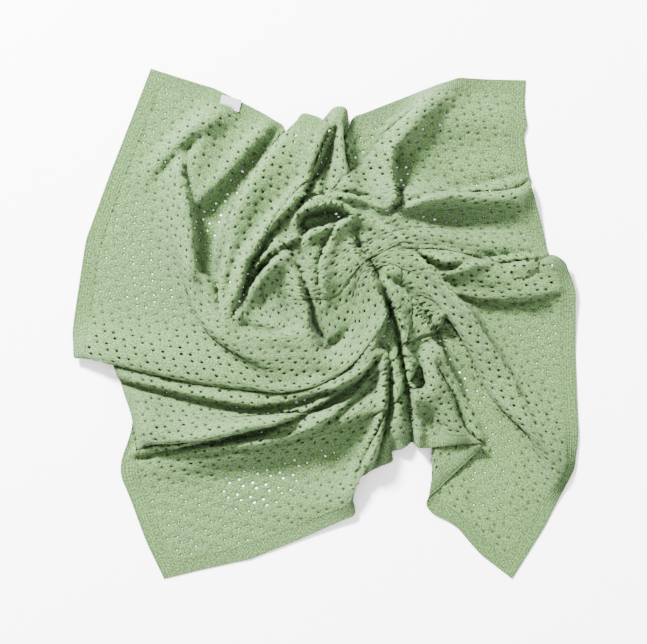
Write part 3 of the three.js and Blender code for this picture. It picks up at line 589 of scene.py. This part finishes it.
def side_border(inner_u, direction):
    """The columns of one side border, from the knit field out to the edge."""
    levels = range(2 * EYELET_ROWS, -1, -1)
    places_along = [CLOTH_LENGTH - BORDER - row_pitch * k / 2 for k in levels]
    columns = [[known[(round(inner_u, 6), k)] for k in levels]]
    for column in range(1, side_ribs + 1):
        u = inner_u + direction * half_rib * column
        columns.append([put(u, v, rib_height(column)) for v in places_along])
    columns.append([put(inner_u + direction * BORDER, v, EDGE_DROP) for v in places_along])
    for inner, outer in zip(columns, columns[1:]):
        for n in range(len(inner) - 1):
            quad = (inner[n], outer[n], outer[n + 1], inner[n + 1])
            faces.append(quad if direction > 0 else quad[::-1])
    return columns


left_columns = side_border(BORDER, -1)
right_columns = side_border(CLOTH_WIDTH - BORDER, 1)


def end_border(k, direction):
    """The rows of the near or far border, from the knit field out to the edge."""
    end = 0 if k else -1
    inner_v = CLOTH_LENGTH - BORDER - row_pitch * k / 2
    field = sorted((u, index) for (u, row), index in known.items() if row == k)
    left = [column[end] for column in reversed(left_columns[1:])]
    right = [column[end] for column in right_columns[1:]]
    inner_row = left + [index for _, index in field] + right
    ribs = round(CLOTH_WIDTH / half_rib)
    rows = [inner_row]
    for share in (0.08, 0.35, 0.65, 0.93, 1.0):
        v = inner_v + direction * BORDER * share
        row = [put(n * CLOTH_WIDTH / ribs, v, rib_height(n)) for n in range(ribs + 1)]
        rows.append(row)
    v = inner_v + direction * BORDER
    rows.append([put(n * CLOTH_WIDTH / ribs, v, EDGE_DROP) for n in range(ribs + 1)])
    for inner, outer in zip(rows, rows[1:]):
        if direction > 0:
            zip_rows(inner, outer)
        else:
            zip_rows(outer, inner)


end_border(0, 1)
end_border(2 * EYELET_ROWS, -1)

flat = np.array(flat_points)
places = on_cloth(cloth, flat[:, 0], flat[:, 1])
outward = on_cloth(facing, flat[:, 0], flat[:, 1])
outward /= np.maximum(np.linalg.norm(outward, axis=1, keepdims=True), 1e-12)
knit_points = places + outward * flat[:, 2:3]
knit_points[:, 2] = np.maximum(knit_points[:, 2], 0.0001)

knit_mesh = bpy.data.meshes.new("blanket_knit")
knit_mesh.from_pydata(knit_points.tolist(), [], faces)
knit_mesh.polygons.foreach_set("use_smooth", np.ones(len(knit_mesh.polygons), bool))
cloth_map = knit_mesh.uv_layers.new(name="cloth")
corner_points = np.empty(len(knit_mesh.loops), int)
knit_mesh.loops.foreach_get("vertex_index", corner_points)
cloth_map.data.foreach_set("uv", flat[corner_points, :2].ravel())
# Each point's height over the sheet, kept for the shader: the low eyelet collars, the hollows between
# the ribs and the hem edge get painted shade from it.
swelling_for_hollow_shade = knit_mesh.attributes.new("swelling_for_hollow_shade", "FLOAT", "POINT")
swelling_for_hollow_shade.data.foreach_set("value", (flat[:, 2] - EYELET_DEPTH) / (BOBBLE[0] - EYELET_DEPTH))
knit_mesh.validate()
knit = bpy.data.objects.new("blanket_knit", knit_mesh)
bpy.context.scene.collection.objects.link(knit)

WALE = 0.00225
COURSE = 0.001625
# The dark end of the yarn colour is partly a darker yarn tone and partly painted shade in the gaps
# between the stitch legs.
YARN_LIGHT = (0.122, 0.236, 0.070, 1)
YARN_DARK_AND_GAP_SHADE = (0.032, 0.063, 0.019, 1)
# Painted shade, laid into the sunken eyelet collars, the hollows between the ribs and the hem edge.
HOLLOW_SHADE = (0.014, 0.030, 0.008, 1)
STITCH_RELIEF = 0.0012


def yarn_material():
    """Matte cotton yarn: slanting stitch legs along each wale, fine fuzz and a faint uneven dye, with
    painted shade in the gaps between the stitch legs and in the low places round the eyelets, the ribs
    and the edge.
    """
    material = bpy.data.materials.new("sage_cotton_knit")
    material.use_nodes = True
    nodes, links = material.node_tree.nodes, material.node_tree.links
    shader = nodes["Principled BSDF"]
    shader.inputs["Roughness"].default_value = 0.92
    shader.inputs["Specular IOR Level"].default_value = 0.2
    shader.inputs["Sheen Weight"].default_value = 0.08
    shader.inputs["Sheen Roughness"].default_value = 0.5

    def number(operation, first, second=None):
        node = nodes.new("ShaderNodeMath")
        node.operation = operation
        for socket, value in zip(node.inputs, (first, second)):
            if isinstance(value, (int, float)):
                socket.default_value = value
            elif value is not None:
                links.new(value, socket)
        return node.outputs[0]

    def noise(scale, detail):
        node = nodes.new("ShaderNodeTexNoise")
        node.inputs["Scale"].default_value = scale
        node.inputs["Detail"].default_value = detail
        links.new(position.outputs["UV"], node.inputs["Vector"])
        return node.outputs["Fac"]

    def blend(share, first, second):
        node = nodes.new("ShaderNodeMix")
        node.data_type = "RGBA"
        links.new(share, node.inputs["Factor"])
        for socket, value in ((node.inputs[6], first), (node.inputs[7], second)):
            if isinstance(value, tuple):
                socket.default_value = value
            else:
                links.new(value, socket)
        return node.outputs[2]

    position = nodes.new("ShaderNodeUVMap")
    position.uv_map = "cloth"
    split = nodes.new("ShaderNodeSeparateXYZ")
    links.new(position.outputs["UV"], split.inputs[0])
    wander = number("MULTIPLY", noise(60, 2), 0.9)
    wale = number("ADD", number("DIVIDE", split.outputs["X"], WALE), wander)
    course = number("ADD", number("DIVIDE", split.outputs["Y"], COURSE), wander)
    across = number("ABSOLUTE", number("SUBTRACT", number("MULTIPLY", number("FRACT", wale), 2), 1))
    leg = number("SUBTRACT", 1, number("ABSOLUTE", number("SUBTRACT", number("MULTIPLY", across, 2), 1)))
    slant = number("MULTIPLY", number("ADD", course, across), 2 * math.pi)
    wave = number("ADD", number("MULTIPLY", number("SINE", slant), 0.5), 0.5)
    stitch = number("MULTIPLY", number("POWER", leg, 0.7), wave)
    fuzz = noise(1400, 3)
    lumps = noise(330, 1)
    relief = number("ADD", stitch, number("MULTIPLY", fuzz, 0.35))
    relief = number("ADD", relief, number("MULTIPLY", lumps, 2.6))

    bump = nodes.new("ShaderNodeBump")
    bump.inputs["Strength"].default_value = 1.0
    bump.inputs["Distance"].default_value = STITCH_RELIEF
    links.new(relief, bump.inputs["Height"])
    links.new(bump.outputs["Normal"], shader.inputs["Normal"])

    dye = nodes.new("ShaderNodeMapRange")
    links.new(noise(14, 2), dye.inputs["Value"])
    dye.inputs["To Min"].default_value = 0.0
    dye.inputs["To Max"].default_value = 0.14
    grain = nodes.new("ShaderNodeMapRange")
    links.new(noise(380, 2), grain.inputs["Value"])
    grain.inputs["From Min"].default_value = 0.38
    grain.inputs["From Max"].default_value = 0.62
    grain.inputs["To Max"].default_value = 0.85
    # The gaps between the stitch legs are painted darker, as painted shade, on top of a random grain.
    stitch_gap_shade_and_grain_share = number("ADD", number("MULTIPLY", stitch, 0.3), grain.outputs["Result"])
    yarn = blend(number("ADD", stitch_gap_shade_and_grain_share, dye.outputs["Result"]), YARN_DARK_AND_GAP_SHADE, YARN_LIGHT)
    # Painted shade: the yarn colour turns to the dark shade colour where the points lie low, in the
    # eyelet collars, between the ribs and at the edge.
    swell = nodes.new("ShaderNodeAttribute")
    swell.attribute_name = "swelling_for_hollow_shade"
    depth = nodes.new("ShaderNodeMapRange")
    links.new(swell.outputs["Fac"], depth.inputs["Value"])
    depth.inputs["From Min"].default_value = 0.0
    depth.inputs["From Max"].default_value = 0.55
    links.new(blend(depth.outputs["Result"], HOLLOW_SHADE, yarn), shader.inputs["Base Color"])
    return material


knit.data.materials.append(yarn_material())
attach(knit, "root")
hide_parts("blanket")

# The label
# A short strip of pale grey woven tape, blank, sewn flat beside the far border by its two short ends.
# It lies on the cloth in the place of its solid.
LABEL_CUTS = 10
TAPE_RIB = 0.0006
TAPE_COLOUR = (0.25, 0.25, 0.26, 1)
label_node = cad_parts["label"]
tape_mesh = label_node.data.copy()
tape_mesh.materials.clear()
label = bpy.data.objects.new("woven_label", tape_mesh)
bpy.context.scene.collection.objects.link(label)
bpy.ops.object.select_all(action="DESELECT")
label.select_set(True)
bpy.context.view_layer.objects.active = label
bpy.ops.object.mode_set(mode="EDIT")
bpy.ops.mesh.select_all(action="SELECT")
bpy.ops.mesh.remove_doubles(threshold=0.00001)
bpy.ops.mesh.tris_convert_to_quads()
bpy.ops.mesh.subdivide(number_cuts=LABEL_CUTS)
bpy.ops.object.mode_set(mode="OBJECT")


def tape_material():
    """Matte woven tape with fine ribs across it."""
    material = bpy.data.materials.new("grey_woven_tape")
    material.use_nodes = True
    nodes, links = material.node_tree.nodes, material.node_tree.links
    shader = nodes["Principled BSDF"]
    shader.inputs["Base Color"].default_value = TAPE_COLOUR
    shader.inputs["Roughness"].default_value = 0.7
    shader.inputs["Sheen Weight"].default_value = 0.15
    place = nodes.new("ShaderNodeTexCoord")
    ribs = nodes.new("ShaderNodeTexWave")
    ribs.inputs["Scale"].default_value = 2 * math.pi / TAPE_RIB / 20
    links.new(place.outputs["Object"], ribs.inputs["Vector"])
    bump = nodes.new("ShaderNodeBump")
    bump.inputs["Strength"].default_value = 0.5
    bump.inputs["Distance"].default_value = 0.0002
    links.new(ribs.outputs["Fac"], bump.inputs["Height"])
    links.new(bump.outputs["Normal"], shader.inputs["Normal"])
    return material


label.data.materials.append(tape_material())
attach(label, "root")
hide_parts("label")

# The table top
# A plain white surface, far larger than the view, that the blanket lies on.
bpy.ops.object.select_all(action="DESELECT")
bpy.ops.mesh.primitive_plane_add(size=12, location=(0, 0, -0.0002))
table_top = bpy.context.active_object
table_top.name = "table_top"
white = bpy.data.materials.new("white_table")
white.use_nodes = True
white.node_tree.nodes["Principled BSDF"].inputs["Base Color"].default_value = (0.96, 0.96, 0.96, 1)
white.node_tree.nodes["Principled BSDF"].inputs["Roughness"].default_value = 0.8
table_top.data.materials.append(white)

# Light and camera
# A wide soft light from beyond the far left corner and an even bright sky. The camera looks straight
# down from high up.
SEEN_WIDTH = 0.938
VIEW_CENTRE = (-0.0032, 0.0024)
CAMERA_HEIGHT = 3.4
world = bpy.data.worlds.new("soft_sky")
world.use_nodes = True
world.node_tree.nodes["Background"].inputs["Color"].default_value = (1, 1, 1, 1)
world.node_tree.nodes["Background"].inputs["Strength"].default_value = 2.55
bpy.context.scene.world = world


def soft_light(name, place, size, power):
    """A square area light that faces the middle of the blanket."""
    data = bpy.data.lights.new(name, "AREA")
    data.size = size
    data.energy = power
    light = bpy.data.objects.new(name, data)
    bpy.context.scene.collection.objects.link(light)
    light.location = place
    reach = math.hypot(place[0], place[1])
    light.rotation_euler = (math.atan2(reach, place[2]), 0, math.atan2(place[1], place[0]) + math.pi / 2)
    return light


soft_light("key", (-1.8, 2.6, 2.7), 0.7, 1750)

camera_data = bpy.data.cameras.new("above")
camera = bpy.data.objects.new("above", camera_data)
bpy.context.scene.collection.objects.link(camera)
camera.location = (VIEW_CENTRE[0], VIEW_CENTRE[1], CAMERA_HEIGHT)
camera_data.sensor_width = 36
camera_data.lens = 36 * (CAMERA_HEIGHT - 0.02) / SEEN_WIDTH
camera_data.clip_end = 30
bpy.context.scene.camera = camera
